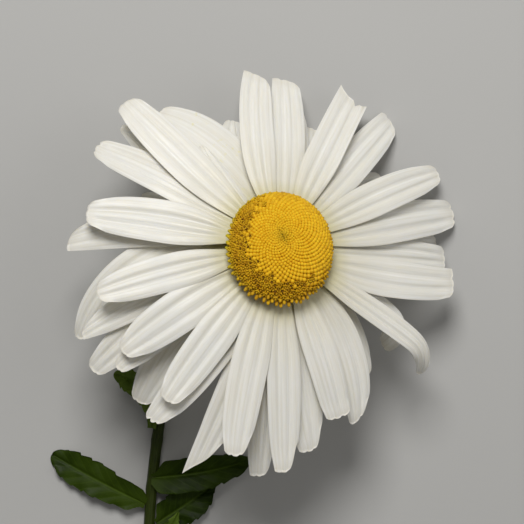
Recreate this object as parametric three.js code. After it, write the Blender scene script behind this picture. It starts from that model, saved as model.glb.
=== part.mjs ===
// A cut daisy lying on a flat surface, as a three.js scene graph.
// Millimetres, +Z up. The surface is Z = 0, the origin is the middle of the footprint,
// and the stem runs along -Y. The head rests face up on the tips of its right-hand ray florets.
import * as THREE from "three";

// ---- driving dimensions -------------------------------------------------------------------
const HEAD_CENTRE = new THREE.Vector3(6.2, 54.4, 31.7); // middle of the ring that carries the rays
const HEAD_TILT = 22; // degrees that the face leans from straight up
const HEAD_TILT_BEARING = 40; // degrees clockwise from +Y: the way the face leans

const RAY_RING_RADIUS = 10.6; // where the rays leave the head
const RAY_TIER_STEP = 0.9; // how far each row of rays sits below the one in front
const RAY_THICKNESS = 0.4;
const RAY_CLAW_WIDTH = 2.6; // width of a ray where it joins the head
const RAY_FRONT_PITCH = 6; // degrees that a front ray drops where it leaves the ring
const RAY_FRONT_DROOP = 14; // degrees more that it drops by its tip
const RAY_TIER_PITCH = 3.2; // added to the pitch for each row back
const RAY_TIER_DROOP = 2.5; // added to the droop for each row back
const RAY_CHANNEL = 0.12; // how deep the blade is channelled, as a share of its half width
const RAY_CHANNEL_LEVEL = 0.4; // lowers the channel so that the blade keeps about its mean height

const DISC_RADIUS = 12.8;
const DISC_UNDERSIDE = 0.9; // above the ring plane, clear of the front rays
const DISC_EDGE = 2.2; // height of the widest part of the dome
const DISC_CROWN = 7.4; // height of the dome round its dimple
const DISC_DIMPLE_RADIUS = 2.6;
const DISC_DIMPLE_DEPTH = 0.9;
const DISC_UNDERSIDE_INSET = 1; // how much narrower the underside is than the dome
const DISC_STRETCH = 1.09; // length against width: the disc isn't quite round
const DISC_STRETCH_BEARING = 15; // the way that it is longer
const DISC_OFFSET = 0.5; // how far its middle lies off the axis of the head
const DISC_OFFSET_BEARING = 240;
const DISC_ARC_STEPS = 7;

const CUP_RADIUS = 11.2; // the green bracts under the rays
const CUP_DEPTH = 9.0;
const CUP_FOOT_FLARE = 0.8; // how much wider the foot of the cup is than the stem
const PAD_RADIUS = 10.0; // the part of the cup that the disc sits on, inside the ring
const LATHE_SEGMENTS = 28;

const STEM_RADIUS = 1.4;
const STEM_STEPS = 52;
const STEM_SIDES = 8;
const FIT_GAP = 0.3; // gap between pieces that touch

const LEAF_THICKNESS = 0.5;

// ---- colours -------------------------------------------------------------------------------
const RAY_WHITE = { color: 0xe4e2d8, roughness: 0.62, metalness: 0 };
const DISC_YELLOW = { color: 0xc7921a, roughness: 0.75, metalness: 0 };
const BRACT_GREEN = { color: 0x4c5a24, roughness: 0.7, metalness: 0 };
const STEM_GREEN = { color: 0x3c4a1c, roughness: 0.65, metalness: 0 };
const LEAF_GREEN = { color: 0x2c3f12, roughness: 0.55, metalness: 0 };

// ---- the rays ------------------------------------------------------------------------------
// Each line is one ray floret, clockwise from the top of the head:
// bearing where it leaves the ring, row (0 is the front), length, width,
// sweep (degrees that it swings clockwise by its tip), and droop added to that of its row.
const RAYS = [
  [350, 0.0, 38.5, 8.2, 22, 0],
  [10.5, 1.0, 40.5, 8.4, -6, 0],
  [16, 2.0, 38.0, 6.8, -9, 4],
  [24, 2.8, 33.0, 7.0, -9, 0],
  [27, 0.0, 39.0, 9.0, 3, 0],
  [40, 1.0, 43.0, 9.0, 2, -2],
  [51, 2.6, 33.0, 9.2, 3, 0],
  [58, 0.3, 42.0, 8.6, 7, 0],
  [71, 1.1, 44.5, 10.0, 2, 3],
  [80, 2.6, 40.0, 7.0, -8, 0],
  [84, 1.9, 39.0, 7.6, 1, 0],
  [102, 0.8, 38.5, 9.4, -22, 0],
  [119, 0.0, 40.5, 5.9, 3, 0],
  [111, 2.0, 32.0, 6.5, 11, 0],
  [124.5, 3.3, 29.0, 7.0, 34, 0],
  [135.5, 1.6, 35.5, 9.0, 40, 0],
  [156, 0.4, 31.2, 8.2, 6, 0],
  [170.4, 1.2, 37.0, 10.4, -5, 0],
  [178.2, 0.4, 41.0, 8.0, -2, 0],
  [185.4, 2.2, 42.7, 7.4, -8, 0],
  [197, 0.0, 38.5, 8.8, -13, 0],
  [195, 1.6, 42.5, 8.4, 12, 0],
  [218, 0.0, 33.5, 9.0, -3, 0],
  [212, 1.1, 39.2, 8.8, 12, 0],
  [234, 3.5, 38.5, 9.4, -31, 0],
  [239, 0.5, 33.0, 10.0, -5, 0],
  [238, 1.5, 36.0, 7.6, -10, 0],
  [246.5, 2.7, 41.5, 9.0, -21, 0],
  [255, 2.0, 39.5, 7.8, -17, 0],
  [259, 0.0, 33.0, 8.8, -6, 0],
  [281, 2.8, 46.2, 9.0, -84, 0],
  [287, 0.4, 35.5, 10.6, -10, 0],
  [288, 1.7, 40.0, 9.4, -30, 0],
  [299, 3.4, 27.0, 7.4, 1, 0],
  [307, 0.7, 40.5, 8.8, -7, 0],
  [312, 1.7, 41.0, 6.4, 12, 0],
  [315.5, 0.0, 42.0, 9.6, 8.5, 0],
  [323, 1.1, 23.0, 5.6, 22, 0],
  [345, 2.0, 40.0, 11.0, -45, 0],
  [341, 2.9, 32.0, 8.4, 29, 0],
];

// Two rays on the lower right curl over at the tip: line number, curl downwards, swing clockwise.
const CURLED_RAYS = new Map([
  [13, [50, 58]],
  [14, [30, 125]],
]);

// ---- small helpers -------------------------------------------------------------------------
const radians = THREE.MathUtils.degToRad;
const smooth = THREE.MathUtils.smoothstep;

// Unit direction for a bearing (clockwise from +Y) and a drop below the horizontal, in degrees.
function direction(bearing, drop) {
  const level = Math.cos(radians(drop));
  return new THREE.Vector3(
    level * Math.sin(radians(bearing)),
    level * Math.cos(radians(bearing)),
    -Math.sin(radians(drop)),
  );
}

// The middle line of a blade: points with a tangent, a sideways and an upward unit vector.
// heading(s) and drop(s) give its direction in degrees, s running from 0 to 1.
function middleLine({ start, length, heading, drop, steps }) {
  const points = [];
  const at = start.clone();
  for (let i = 0; i <= steps; i++) {
    const s = i / steps;
    const tangent = direction(heading(s), drop(s));
    const side = direction(heading(s) + 90, 0);
    const up = new THREE.Vector3().crossVectors(side, tangent);
    points.push({ s, at: at.clone(), tangent, side, up });
    const halfway = (i + 0.5) / steps;
    at.addScaledVector(direction(heading(halfway), drop(halfway)), length / steps);
  }
  return points;
}

// A closed thin blade from a grid of points(s, v, side): side is 1 on top and -1 below.
function bladeGeometry(line, columns, thickness, surface) {
  const rows = line.length;
  const positions = [];
  const index = [];
  const layer = rows * (columns + 1);
  for (const face of [1, -1]) {
    for (const frame of line) {
      for (let j = 0; j <= columns; j++) {
        const point = surface(frame, (2 * j) / columns - 1);
        point.addScaledVector(frame.up, (face * thickness) / 2);
        positions.push(point.x, point.y, point.z);
      }
    }
  }
  const top = (i, j) => i * (columns + 1) + j;
  const quad = (a, b, c, d) => index.push(a, b, c, a, c, d);
  for (let i = 0; i < rows - 1; i++) {
    for (let j = 0; j < columns; j++) {
      const [a, b, c, d] = [top(i, j), top(i, j + 1), top(i + 1, j + 1), top(i + 1, j)];
      quad(a, b, c, d);
      quad(layer + a, layer + d, layer + c, layer + b);
    }
    quad(top(i, 0), top(i + 1, 0), layer + top(i + 1, 0), layer + top(i, 0));
    quad(top(i + 1, columns), top(i, columns), layer + top(i, columns), layer + top(i + 1, columns));
  }
  for (let j = 0; j < columns; j++) {
    quad(top(0, j + 1), top(0, j), layer + top(0, j), layer + top(0, j + 1));
    const last = rows - 1;
    quad(top(last, j), top(last, j + 1), layer + top(last, j + 1), layer + top(last, j));
  }
  const geometry = new THREE.BufferGeometry();
  geometry.setAttribute("position", new THREE.Float32BufferAttribute(positions, 3));
  geometry.setIndex(index);
  geometry.computeVertexNormals();
  return geometry;
}

function piece(name, geometry, finish) {
  const mesh = new THREE.Mesh(geometry, new THREE.MeshStandardMaterial(finish));
  mesh.name = name;
  return mesh;
}

// ---- ray florets ---------------------------------------------------------------------------
const RAY_STEPS = 7;
const RAY_COLUMNS = 4;
const RAY_WIDEST = 0.46; // where the blade is widest, as a share of its length
const RAY_NARROWING = 2.6; // power: the blade keeps its width, then narrows close to the tip
const RAY_TIP_SHARE = 0.5; // width at the blunt tip, as a share of the widest
const RAY_TIP_ROUNDING = 0.04; // how far the corners of the tip fall back, as a share of the length
const RAY_TIP_SQUARENESS = 2.5; // power across the blade: the middle of the tip stays square
const RAY_TIP_START = 0.8; // where the rounding of the tip begins
const RAY_CHANNEL_START = 0.25; // by here the blade has its full channel
const RAY_CURL_START = 0.66; // where a curled tip begins to turn

function rayHalfWidth(s, width) {
  const claw = RAY_CLAW_WIDTH / width;
  const swelling = Math.sin((Math.min(s / RAY_WIDEST, 1) * Math.PI) / 2);
  const narrowing = Math.max((s - RAY_WIDEST) / (1 - RAY_WIDEST), 0) ** RAY_NARROWING;
  return (width / 2) * (claw + (1 - claw) * swelling) * (1 - (1 - RAY_TIP_SHARE) * narrowing);
}

function rayGeometry([bearing, row, length, width, sweep, extraDroop], [curl, hook]) {
  const pitch = RAY_FRONT_PITCH + RAY_TIER_PITCH * row;
  const droop = RAY_FRONT_DROOP + RAY_TIER_DROOP * row + extraDroop;
  const curled = (s) => smooth(s, RAY_CURL_START, 1);
  const line = middleLine({
    start: direction(bearing, 0).multiplyScalar(RAY_RING_RADIUS).setZ(-row * RAY_TIER_STEP),
    length,
    heading: (s) => bearing + sweep * s + hook * curled(s),
    drop: (s) => pitch + droop * s + curl * curled(s),
    steps: RAY_STEPS,
  });
  return bladeGeometry(line, RAY_COLUMNS, RAY_THICKNESS, (frame, v) => {
    const half = rayHalfWidth(frame.s, width);
    const corner = Math.abs(v) ** RAY_TIP_SQUARENESS * smooth(frame.s, RAY_TIP_START, 1);
    const rounding = RAY_TIP_ROUNDING * length * corner;
    const deepening = smooth(frame.s, 0, RAY_CHANNEL_START);
    const channel = RAY_CHANNEL * half * (v * v - RAY_CHANNEL_LEVEL) * deepening;
    return frame.at
      .clone()
      .addScaledVector(frame.side, v * half)
      .addScaledVector(frame.tangent, -rounding)
      .addScaledVector(frame.up, channel);
  });
}

function rayFlorets() {
  return RAYS.map((ray, i) => {
    const name = `ray_floret_${String(i + 1).padStart(2, "0")}`;
    return piece(name, rayGeometry(ray, CURLED_RAYS.get(i + 1) ?? [0, 0]), RAY_WHITE);
  });
}

// ---- the disc and the green cup, turned about the axis of the head ----------------------------
function turned(profile) {
  const geometry = new THREE.LatheGeometry(profile, LATHE_SEGMENTS);
  geometry.rotateX(Math.PI / 2); // the lathe turns about Y: stand it on +Z
  return geometry;
}

function discFlorets() {
  const profile = [
    new THREE.Vector2(0, DISC_UNDERSIDE),
    new THREE.Vector2(DISC_RADIUS - DISC_UNDERSIDE_INSET, DISC_UNDERSIDE),
  ];
  for (let i = 0; i <= DISC_ARC_STEPS; i++) {
    const angle = (i / DISC_ARC_STEPS) * (Math.PI / 2);
    const radius = DISC_DIMPLE_RADIUS + (DISC_RADIUS - DISC_DIMPLE_RADIUS) * Math.cos(angle);
    profile.push(new THREE.Vector2(radius, DISC_EDGE + (DISC_CROWN - DISC_EDGE) * Math.sin(angle)));
  }
  profile.push(new THREE.Vector2(0, DISC_CROWN - DISC_DIMPLE_DEPTH));
  const geometry = turned(profile).scale(1, DISC_STRETCH, 1).rotateZ(-radians(DISC_STRETCH_BEARING));
  const offset = direction(DISC_OFFSET_BEARING, 0).multiplyScalar(DISC_OFFSET);
  return piece("disc_florets", geometry.translate(offset.x, offset.y, 0), DISC_YELLOW);
}

// The bracts' outline under the rays, foot to rim: shares of the cup's radius and of its depth.
const CUP_BELLY = [
  [0.62, 0.84],
  [0.9, 0.64],
  [1, 0.48],
];
const PAD_STEP = 0.5; // the pad rises from this much above the rim

function involucre() {
  const top = DISC_UNDERSIDE - FIT_GAP;
  const belly = CUP_BELLY.map(([radius, depth]) => [radius * CUP_RADIUS, -depth * CUP_DEPTH]);
  const rim = belly.at(-1)[1];
  const profile = [
    [0, -CUP_DEPTH],
    [STEM_RADIUS + CUP_FOOT_FLARE, -CUP_DEPTH],
    ...belly,
    [PAD_RADIUS, rim + PAD_STEP],
    [PAD_RADIUS, top],
    [0, top],
  ].map(([radius, height]) => new THREE.Vector2(radius, height));
  return piece("involucral_bracts", turned(profile), BRACT_GREEN);
}

function head() {
  const group = new THREE.Group();
  group.position.copy(HEAD_CENTRE);
  const leanAxis = direction(HEAD_TILT_BEARING - 90, 0);
  group.quaternion.setFromAxisAngle(leanAxis, radians(HEAD_TILT));
  group.add(...rayFlorets(), discFlorets(), involucre());
  return group;
}

// ---- the stem ------------------------------------------------------------------------------
// From the cup, down to the surface and along it to the cut end: points from the head's centre
// in X and Y, with their height above the surface.
const STEM_ROUTE = [
  [-3.9, -4.6, 17.2],
  [-8.6, -9.3, 10.4],
  [-16.0, -15.6, 5.0],
  [-23.4, -24.6, 2.1],
  [-28.0, -34.6, STEM_RADIUS],
  [-29.6, -44.0, STEM_RADIUS],
  [-31.1, -56.0, STEM_RADIUS],
  [-32.0, -68.0, STEM_RADIUS],
  [-32.8, -90.0, STEM_RADIUS],
  [-32.0, -120.0, STEM_RADIUS],
  [-29.6, -152.0, STEM_RADIUS],
];

function stem() {
  const axis = direction(HEAD_TILT_BEARING, 0).multiplyScalar(Math.sin(radians(HEAD_TILT)));
  axis.z = Math.cos(radians(HEAD_TILT));
  const top = HEAD_CENTRE.clone().addScaledVector(axis, -(CUP_DEPTH + FIT_GAP));
  const route = STEM_ROUTE.map(([x, y, z]) => new THREE.Vector3(HEAD_CENTRE.x + x, HEAD_CENTRE.y + y, z));
  const section = new THREE.Shape();
  for (let i = 0; i < STEM_SIDES; i++) {
    const angle = ((i + 0.5) / STEM_SIDES) * 2 * Math.PI;
    const corner = [STEM_RADIUS * Math.cos(angle), STEM_RADIUS * Math.sin(angle)];
    if (i === 0) section.moveTo(...corner);
    else section.lineTo(...corner);
  }
  section.closePath();
  const extrudePath = new THREE.CatmullRomCurve3([top, ...route], false, "centripetal");
  const geometry = new THREE.ExtrudeGeometry(section, { steps: STEM_STEPS, extrudePath });
  return piece("stem", geometry, STEM_GREEN);
}

// ---- the leaves ----------------------------------------------------------------------------
// base: where the leaf leaves the stem, from the head's centre in X and Y, and above the surface.
// bearing, turn: its heading at the base and how far it swings by the tip. drop, bend: how steeply
// it falls at the base (minus is rising) and how much more by the tip. fold: how far each half
// stands up from the midrib. foot: its width at the base. widest, tip: where it is widest, as a share
// of its length, and how blunt its tip is.
const LEAVES = [
  {
    name: "leaf_left", base: [-35.1, -61.8, 2.5], bearing: 296, turn: 3, length: 24.3, width: 8.8,
    drop: -6, bend: 22, fold: 8, foot: 6.0, widest: 0.62, tip: 0.5,
  },
  {
    name: "leaf_right", base: [-29.0, -56.0, 2.9], bearing: 88, turn: -16, length: 25.0, width: 9.8,
    drop: -9, bend: 30, fold: 26, foot: 8.2, widest: 0.32, tip: 0.16,
  },
  {
    name: "leaf_lower_right", base: [-28.2, -66.4, 1.7], bearing: 60, turn: -8, length: 15.6, width: 9.6,
    drop: 1, bend: 3, fold: 12, foot: 7.6, widest: 0.5, tip: 0.2,
  },
  {
    name: "leaf_lowest", base: [-30.3, -75.2, 2.4], bearing: 34, turn: -10, length: 12.5, width: 5.0,
    drop: -18, bend: 14, fold: 22, foot: 2.2, widest: 0.5, tip: 0.2,
  },
  {
    name: "leaf_upper", base: [-30.9, -41.6, 3.2], bearing: 10, turn: -88, length: 16.0, width: 6.0,
    drop: -16, bend: 12, fold: 16, foot: 2.2, widest: 0.8, tip: 0.5,
  },
];
const LEAF_STEPS = 14;
const LEAF_COLUMNS = 4;
const LEAF_TEETH = 7; // teeth along each margin
const LEAF_TOOTH_DEPTH = 0.5;
const LEAF_TEETH_START = 0.2; // the stalk end of a leaf has no teeth
const LEAF_TEETH_FULL = 0.4; // from here they have their full depth
const LEAF_SWELLING = 1.4; // power: how long a leaf stays narrow at its base
const LEAF_NARROWING = 2.2; // power: how late it narrows to its tip
const LEAF_TIP_ROUNDING = 0.06; // how far the margins fall back at the tip, as a share of the length
const LEAF_TIP_START = 0.75;

function leafHalfWidth(s, leaf) {
  const base = leaf.foot / leaf.width;
  const swelling = Math.sin((Math.min(s / leaf.widest, 1) * Math.PI) / 2) ** LEAF_SWELLING;
  const narrowing = Math.max((s - leaf.widest) / (1 - leaf.widest), 0) ** LEAF_NARROWING;
  return (leaf.width / 2) * (base + (1 - base) * swelling) * (1 - (1 - leaf.tip) * narrowing);
}

function leafMesh(leaf) {
  const [x, y, z] = leaf.base;
  const line = middleLine({
    start: new THREE.Vector3(HEAD_CENTRE.x + x, HEAD_CENTRE.y + y, z),
    length: leaf.length,
    heading: (s) => leaf.bearing + leaf.turn * s,
    drop: (s) => leaf.drop + leaf.bend * s,
    steps: LEAF_STEPS,
  });
  const fold = radians(leaf.fold);
  const geometry = bladeGeometry(line, LEAF_COLUMNS, LEAF_THICKNESS, (frame, v) => {
    const toothed = smooth(frame.s, LEAF_TEETH_START, LEAF_TEETH_FULL);
    const tooth = LEAF_TOOTH_DEPTH * ((frame.s * LEAF_TEETH) % 1) * toothed;
    const half = leafHalfWidth(frame.s, leaf) - tooth * Math.abs(v);
    const rounding = LEAF_TIP_ROUNDING * leaf.length * v * v * smooth(frame.s, LEAF_TIP_START, 1);
    return frame.at
      .clone()
      .addScaledVector(frame.side, v * half * Math.cos(fold))
      .addScaledVector(frame.up, Math.abs(v) * half * Math.sin(fold))
      .addScaledVector(frame.tangent, -rounding);
  });
  return piece(leaf.name, geometry, LEAF_GREEN);
}

// ---- the whole flower ------------------------------------------------------------------------
const daisy = new THREE.Group();
daisy.add(head(), stem(), ...LEAVES.map(leafMesh));

export default daisy;
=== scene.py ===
# A cut daisy lying face up on a pale surface, seen from straight above its head.
# Lengths are in millimetres in the row frame: +Z up, the stem along -Y, the surface at Z = 0.
# Bearings are in degrees clockwise from +Y. In the head's own frame Z is the axis of the head.
import math

import bpy
import numpy as np
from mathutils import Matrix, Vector


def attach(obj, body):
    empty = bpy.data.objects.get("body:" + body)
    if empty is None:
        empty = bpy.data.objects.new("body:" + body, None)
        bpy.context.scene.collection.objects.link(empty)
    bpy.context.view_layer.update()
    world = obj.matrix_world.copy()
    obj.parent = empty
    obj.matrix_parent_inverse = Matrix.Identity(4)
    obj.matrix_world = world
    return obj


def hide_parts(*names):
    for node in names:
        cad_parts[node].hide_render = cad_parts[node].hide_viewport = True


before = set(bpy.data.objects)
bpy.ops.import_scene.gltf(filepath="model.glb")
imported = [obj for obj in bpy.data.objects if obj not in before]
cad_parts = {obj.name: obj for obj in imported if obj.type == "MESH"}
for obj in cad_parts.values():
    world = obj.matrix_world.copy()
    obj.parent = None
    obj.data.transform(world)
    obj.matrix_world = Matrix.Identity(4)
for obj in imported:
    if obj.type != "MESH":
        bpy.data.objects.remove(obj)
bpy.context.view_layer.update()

MM = 0.001
SURFACE_GAP = 0.04  # nothing reaches lower than this above the surface that the flower lies on
random = np.random.default_rng(7)

# ---- driving dimensions, as in the CAD ---------------------------------------------------------
HEAD_CENTRE = np.array([6.2, 54.4, 31.7])  # middle of the ring that carries the rays
HEAD_TILT = 22  # degrees that the face leans from straight up
HEAD_TILT_BEARING = 40  # degrees clockwise from +Y: the way the face leans

RAY_RING_RADIUS = 10.6
RAY_TIER_STEP = 0.9  # how much lower each row starts
RAY_FRONT_PITCH = 6  # degrees that the front row falls at its foot
RAY_FRONT_DROOP = 14  # and how many more by its tip
RAY_TIER_PITCH = 3.2
RAY_TIER_DROOP = 2.5
RAY_CHANNEL = 0.12
RAY_CURL_START = 0.66  # where along a curled ray the curl starts

DISC_RADIUS = 12.8
DISC_EDGE = 2.2  # height of the rim above the ring of rays
DISC_CROWN = 7.4
DISC_DIMPLE_RADIUS = 2.6

CUP_DEPTH = 9.0
STEM_RADIUS = 1.4

# ---- the camera, straight above the head and a little to its lower left ------------------------
CAMERA_OFFSET = (-3.94, -2.67)
CAMERA_HEIGHT = 420  # above the middle of the head
VIEW_WIDTH = 121.6  # what the picture spans at the height of the head
SENSOR_WIDTH = 36

# Each line is one ray floret, clockwise from the top of the head, as in the CAD:
# bearing where it leaves the ring, row (0 is the front), length, width,
# sweep (degrees that it swings clockwise by its tip), and droop added to that of its row.
RAYS = [
    (350, 0.0, 38.5, 8.2, 22, 0),
    (10.5, 1.0, 40.5, 8.4, -6, 0),
    (16, 2.0, 38.0, 6.8, -9, 4),
    (24, 2.8, 33.0, 7.0, -9, 0),
    (27, 0.0, 39.0, 9.0, 3, 0),
    (40, 1.0, 43.0, 9.0, 2, -2),
    (51, 2.6, 33.0, 9.2, 3, 0),
    (58, 0.3, 42.0, 8.6, 7, 0),
    (71, 1.1, 44.5, 10.0, 2, 3),
    (80, 2.6, 40.0, 7.0, -8, 0),
    (84, 1.9, 39.0, 7.6, 1, 0),
    (102, 0.8, 38.5, 9.4, -22, 0),
    (119, 0.0, 40.5, 5.9, 3, 0),
    (111, 2.0, 32.0, 6.5, 11, 0),
    (124.5, 3.3, 29.0, 7.0, 34, 0),
    (135.5, 1.6, 35.5, 9.0, 40, 0),
    (156, 0.4, 31.2, 8.2, 6, 0),
    (170.4, 1.2, 37.0, 10.4, -5, 0),
    (178.2, 0.4, 41.0, 8.0, -2, 0),
    (185.4, 2.2, 42.7, 7.4, -8, 0),
    (197, 0.0, 38.5, 8.8, -13, 0),
    (195, 1.6, 42.5, 8.4, 12, 0),
    (218, 0.0, 33.5, 9.0, -3, 0),
    (212, 1.1, 39.2, 8.8, 12, 0),
    (234, 3.5, 38.5, 9.4, -31, 0),
    (239, 0.5, 33.0, 10.0, -5, 0),
    (238, 1.5, 36.0, 7.6, -10, 0),
    (246.5, 2.7, 41.5, 9.0, -21, 0),
    (255, 2.0, 39.5, 7.8, -17, 0),
    (259, 0.0, 33.0, 8.8, -6, 0),
    (281, 2.8, 46.2, 9.0, -84, 0),
    (287, 0.4, 35.5, 10.6, -10, 0),
    (288, 1.7, 40.0, 9.4, -30, 0),
    (299, 3.4, 27.0, 7.4, 1, 0),
    (307, 0.7, 40.5, 8.8, -7, 0),
    (312, 1.7, 41.0, 6.4, 12, 0),
    (315.5, 0.0, 42.0, 9.6, 8.5, 0),
    (323, 1.1, 23.0, 5.6, 22, 0),
    (345, 2.0, 40.0, 11.0, -45, 0),
    (341, 2.9, 32.0, 8.4, 29, 0),
]

# Two rays on the lower right curl over at the tip: line number, then degrees that it curls down
# and degrees that it swings clockwise.
CURLED_RAYS = {13: (50, 58), 14: (30, 125)}

# Rays whose tip isn't the usual one. All but share, edge and ridge are shares of the ray's length,
# and pairs are for the clockwise and the other side.
# share: width at the tip against the widest; slant: how far the clockwise corner falls back;
# shoulders: how far each side is rounded off; notch: how deep the two notches are;
# edge: how far the clockwise edge folds up, in mm; ridge: strength of the lengthwise ridges.
RAY_TIPS = {
    1: {"share": 0.85, "slant": 0.02, "shoulders": (0.07, 0.01), "notch": (0.0, 0.0)},
    2: {"share": 0.8, "slant": 0.02, "shoulders": (0.05, 0.02), "notch": (0.0, 0.008)},
    5: {"share": 0.95, "slant": 0.028, "shoulders": (0.0, -0.03), "notch": (0.035, 0.0), "edge": 0.9},
    6: {"share": 0.7, "slant": 0.03, "shoulders": (0.04, 0.03)},
    8: {"share": 0.62, "slant": 0.0, "shoulders": (0.05, 0.04)},
    9: {"share": 0.72, "slant": 0.01, "shoulders": (0.05, 0.05), "notch": (0.01, 0.01)},
    11: {"share": 0.78, "shoulders": (0.03, 0.03), "notch": (0.003, 0.005)},
    12: {"share": 0.78, "slant": 0.025, "shoulders": (0.05, 0.012), "notch": (0.003, 0.008)},
    13: {"share": 0.42, "notch": (0.003, 0.003)},
    14: {"share": 0.75, "notch": (0.004, 0.004)},
    16: {"share": 0.45, "slant": -0.05, "notch": (0.0, 0.01)},
    17: {"share": 0.75, "shoulders": (0.03, 0.03), "notch": (0.008, 0.012)},
    18: {"share": 0.55, "shoulders": (0.02, 0.09)},
    19: {"share": 0.6, "shoulders": (0.01, 0.12)},
    20: {"share": 0.6, "shoulders": (0.01, 0.05)},
    21: {"share": 0.6, "shoulders": (0.03, 0.07)},
    22: {"share": 0.55, "slant": -0.08, "shoulders": (-0.01, 0.06), "notch": (0.0, 0.0)},
    24: {"share": 0.55, "slant": -0.02, "notch": (0.018, 0.012)},
    29: {"share": 0.42, "slant": 0.02},
    31: {"share": 0.45, "ridge": 0.6},
    33: {"share": 0.5, "slant": 0.04, "shoulders": (0.05, 0.02), "notch": (0.0, 0.0), "ridge": 0.5},
    35: {"share": 0.62, "notch": (0.012, 0.008)},
    37: {"share": 0.66, "shoulders": (0.05, 0.03)},
    38: {"share": 0.35},
    39: {"share": 0.5, "ridge": 0.4},
}

# The stem's route: X and Y from the head's centre, and height above the surface, as in the CAD.
STEM_ROUTE = [
    (-3.9, -4.6, 17.2),
    (-8.6, -9.3, 10.4),
    (-16.0, -15.6, 5.0),
    (-23.4, -24.6, 2.1),
    (-28.0, -34.6, STEM_RADIUS),
    (-29.6, -44.0, STEM_RADIUS),
    (-31.1, -56.0, STEM_RADIUS),
    (-32.0, -68.0, STEM_RADIUS),
    (-32.8, -90.0, STEM_RADIUS),
    (-32.0, -120.0, STEM_RADIUS),
    (-29.6, -152.0, STEM_RADIUS),
]

# The leaves, as in the CAD: base, heading and turn, length and width, fall at the base and how much
# more by the tip, fold of each half, width of the foot, where it is widest and how blunt its tip is.
LEAVES = {
    "leaf_left": ((-35.1, -61.8, 2.5), 296, 3, 24.3, 8.8, -6, 22, 8, 6.0, 0.62, 0.5),
    "leaf_right": ((-29.0, -56.0, 2.9), 88, -16, 25.0, 9.8, -9, 30, 26, 8.2, 0.32, 0.16),
    "leaf_lower_right": ((-28.2, -66.4, 1.7), 60, -8, 15.6, 9.6, 1, 3, 12, 7.6, 0.5, 0.2),
    "leaf_lowest": ((-30.3, -75.2, 2.4), 34, -10, 12.5, 5.0, -18, 14, 22, 2.2, 0.5, 0.2),
    "leaf_upper": ((-30.9, -41.6, 3.2), 10, -88, 16.0, 6.0, -16, 12, 16, 2.2, 0.8, 0.5),
}
LEAF_TEETH = 7
LEAF_TOOTH_DEPTH = 0.5


# ---- geometry helpers --------------------------------------------------------------------------
def smooth(low, high, x):
    t = np.clip((x - low) / (high - low), 0, 1)
    return t * t * (3 - 2 * t)


def bump(x, centre, width):
    return np.exp(-(((x - centre) / width) ** 2))


def direction(bearing, drop):
    """Unit vectors for a bearing clockwise from +Y and a drop below the horizontal, in degrees."""
    b, d = np.radians(bearing), np.radians(drop)
    return np.stack([np.cos(d) * np.sin(b), np.cos(d) * np.cos(b), -np.sin(d) * np.ones_like(b)], -1)


def turning(axis, angle):
    """Rotation matrix about a unit axis, in degrees."""
    x, y, z = axis
    cross = np.array([[0, -z, y], [z, 0, -x], [-y, x, 0]])
    a = math.radians(angle)
    return np.eye(3) + math.sin(a) * cross + (1 - math.cos(a)) * cross @ cross


HEAD_TURN = turning(direction(np.float64(HEAD_TILT_BEARING - 90), 0.0), HEAD_TILT)
HEAD_AXIS = HEAD_TURN[:, 2]


def from_head(points):
    """Points in the head's own frame, with its axis as Z, to the row frame."""
    return points @ HEAD_TURN.T + HEAD_CENTRE


def middle_line(start, length, heading, drop, roll, s):
    """Points, tangents, sideways and upward vectors along the middle of a blade."""
    halfway = (s[1:] + s[:-1]) / 2
    strides = direction(heading(halfway), drop(halfway)) * (np.diff(s) * length)[:, None]
    at = np.vstack([np.zeros(3), np.cumsum(strides, 0)]) + start
    tangent = direction(heading(s), drop(s))
    level = direction(heading(s) + 90, 0 * s)
    upright = np.cross(level, tangent)
    turn = np.radians(roll(s))[:, None]
    side = level * np.cos(turn) + upright * np.sin(turn)
    up = upright * np.cos(turn) - level * np.sin(turn)
    return at, tangent, side, up


def grid_faces(rows, columns, wrap=False, first=0, flip=False):
    """Quads of a grid of points, rows by columns, as an array."""
    i, j = np.meshgrid(np.arange(rows - 1), np.arange(columns if wrap else columns - 1), indexing="ij")
    k = (j + 1) % columns
    quads = np.stack([i * columns + j, i * columns + k, (i + 1) * columns + k, (i + 1) * columns + j], -1)
    quads = quads.reshape(-1, 4) + first
    return quads[:, ::-1] if flip else quads


def sheet_uv(v, s):
    """UV of both faces of a sheet: u runs across it and v along it."""
    across, along = np.broadcast_arrays((v + 1) / 2, s)
    return np.tile(np.column_stack([across.ravel(), along.ravel()]), (2, 1))


def around(sides):
    return np.arange(sides) / sides * 2 * math.pi


def ring(radius, angle, height):
    """Points round the axis. Radius and height are single numbers or one for each point."""
    return np.stack([radius * np.cos(angle), radius * np.sin(angle), height + 0 * angle], -1)


def make_piece(name, points, faces, material, node, uv=None, tone=None):
    """A smooth mesh piece, in place of a CAD node, from points in mm. uv and tone are per point."""
    mesh = bpy.data.meshes.new(name)
    points = np.asarray(points, float).copy()
    points[:, 2] = np.maximum(points[:, 2], SURFACE_GAP)
    mesh.from_pydata((points * MM).tolist(), [], [list(map(int, f)) for f in faces])
    mesh.validate()
    mesh.polygons.foreach_set("use_smooth", np.ones(len(mesh.polygons), bool))
    corner = np.empty(len(mesh.loops), int)
    mesh.loops.foreach_get("vertex_index", corner)
    if uv is not None:
        layer = mesh.uv_layers.new(name="UVMap")
        layer.data.foreach_set("uv", np.asarray(uv)[corner].ravel())
    if tone is not None:
        layer = mesh.color_attributes.new("tone", "FLOAT_COLOR", "POINT")
        layer.data.foreach_set("color", np.asarray(tone, float).ravel())
    mesh.materials.append(material)
    piece = bpy.data.objects.new(name, mesh)
    bpy.context.scene.collection.objects.link(piece)
    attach(piece, "root")
    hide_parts(node)


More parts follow.
